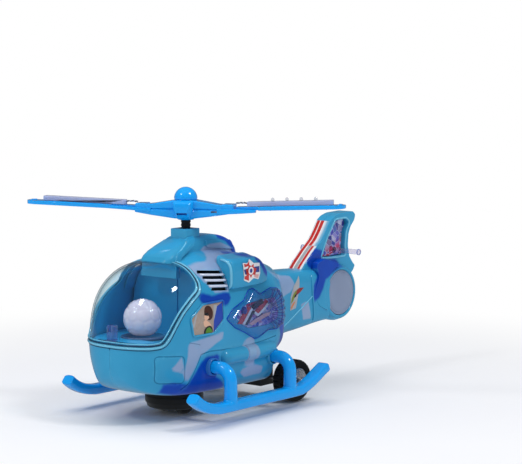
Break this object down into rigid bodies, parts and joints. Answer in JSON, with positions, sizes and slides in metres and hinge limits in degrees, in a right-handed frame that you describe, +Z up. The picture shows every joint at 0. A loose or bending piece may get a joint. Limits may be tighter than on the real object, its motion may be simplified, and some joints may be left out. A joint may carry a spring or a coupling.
{
  "type": "toy helicopter",
  "caption": "Battery toy helicopter with a spinning lit rotor, clear cockpit over a light ball, skids, rear road wheels and a swivelling drive unit under the nose.",
  "frame": {"origin": "on the ground, at the middle of the toy's whole box, under the body between the skids", "axes": "+Z up along the rotor mast, -Y toward the nose, +Y toward the tail, +X to the pilot's left (port)"},
  "size_m": [0.2485, 0.333, 0.1921],
  "materials": {
    "azure_plastic": "gloss",
    "battery_cell": "lacquered",
    "black_plastic": "satin",
    "black_rubber": "matte",
    "blue_clear_lens": "clear tinted",
    "body_blue": "satin",
    "brass_gear": "hobbed",
    "circuit_board": "solder mask",
    "clear_canopy": "clear",
    "contact_steel": "plated",
    "fin_light": "translucent",
    "lavender_clear": "translucent",
    "light_tube": "clear",
    "red_reflector": "gloss",
    "silver_hub": "silver lacquer",
    "speaker_cone": "paper and foam",
    "steel": "turned",
    "white_nylon": "satin",
    "wire_insulation": "satin"
  },
  "bodies": {
    "airframe": {"battery_box": "black_plastic", "battery_cell_1": "battery_cell", "battery_cell_2": "battery_cell", "battery_cell_3": "battery_cell", "battery_door": "body_blue", "battery_door_screw": "steel", "canopy": "clear_canopy", "circuit_board": "circuit_board", "cockpit_light_block": "lavender_clear", "cockpit_liner": "body_blue", "contact_plate_left": "contact_steel", "contact_plate_right": "contact_steel", "drive_gearbox": "white_nylon", "fin_light_panel": "fin_light", "fuselage_shell_left": "body_blue", "fuselage_shell_right": "body_blue", "light_cover_left": "blue_clear_lens", "light_cover_right": "blue_clear_lens", "light_reflector_left": "red_reflector", "light_reflector_right": "red_reflector", "mast_cowl": "body_blue", "power_switch": "black_plastic", "rear_axle_housing": "black_plastic", "rotor_gear_frame": "white_nylon", "rotor_motor": "steel", "shaft_bush_lower": "brass_gear", "shaft_bush_upper": "brass_gear", "skid_left": "azure_plastic", "skid_right": "azure_plastic", "speaker": "speaker_cone", "tail_disc_left": "lavender_clear", "tail_disc_right": "lavender_clear", "tail_light_tube": "light_tube"},
    "rotor": {"rotor_gear": "white_nylon", "rotor_shaft": "steel", "shaft_sleeve": "black_plastic", "rotor_hub": "azure_plastic", "hub_cap": "azure_plastic", "blade_left": "azure_plastic", "blade_light_left": "lavender_clear", "blade_led_board_left": "circuit_board", "blade_wire_left": "wire_insulation", "blade_right": "azure_plastic", "blade_light_right": "lavender_clear", "blade_led_board_right": "circuit_board", "blade_wire_right": "wire_insulation"},
    "rotor_pinion_set": {"rotor_pinion": "brass_gear", "rotor_motor_shaft": "steel"},
    "light_ball_unit": {"light_ball": "lavender_clear", "light_ball_base": "lavender_clear"},
    "turntable": {"drive_turntable": "black_plastic"},
    "drive_wheels": {"drive_wheel_left": "black_rubber", "drive_wheel_right": "black_rubber", "drive_axle": "steel"},
    "rear_wheels": {"rear_tyre_left": "black_rubber", "rear_tyre_right": "black_rubber", "rear_hub_left": "silver_hub", "rear_hub_right": "silver_hub", "rear_axle": "steel"},
    "switch_knob": {"power_switch_knob": "black_plastic"}
  },
  "joints": [
    {"name": "rotor_spin", "type": "hinge", "parent": "airframe", "child": "rotor", "pos_m": [0, -0.07054, 0.15], "axis": [0, 0, 1], "continuous": true},
    {"name": "pinion_spin", "type": "hinge", "parent": "airframe", "child": "rotor_pinion_set", "pos_m": [0, -0.05254, 0.118], "axis": [0, 0, 1], "continuous": true},
    {"name": "light_ball_spin", "type": "hinge", "parent": "airframe", "child": "light_ball_unit", "pos_m": [0, -0.12604, 0.0855], "axis": [0, 0, 1], "continuous": true},
    {"name": "turntable_swivel", "type": "hinge", "parent": "airframe", "child": "turntable", "pos_m": [0, -0.08654, 0.018], "axis": [0, 0, 1], "continuous": true},
    {"name": "drive_wheel_spin", "type": "hinge", "parent": "turntable", "child": "drive_wheels", "pos_m": [0, -0.08654, 0.011], "axis": [1, 0, 0], "continuous": true},
    {"name": "rear_wheel_spin", "type": "hinge", "parent": "airframe", "child": "rear_wheels", "pos_m": [0, 0.01646, 0.0185], "axis": [1, 0, 0], "continuous": true},
    {"name": "power_switch_slide", "type": "slide", "parent": "airframe", "child": "switch_knob", "axis": [0, 1, 0], "range_m": [0, 0.005]}
  ],
  "couplings": [
    {"joint": "pinion_spin", "follows": "rotor_spin", "ratio": -4}
  ]
}
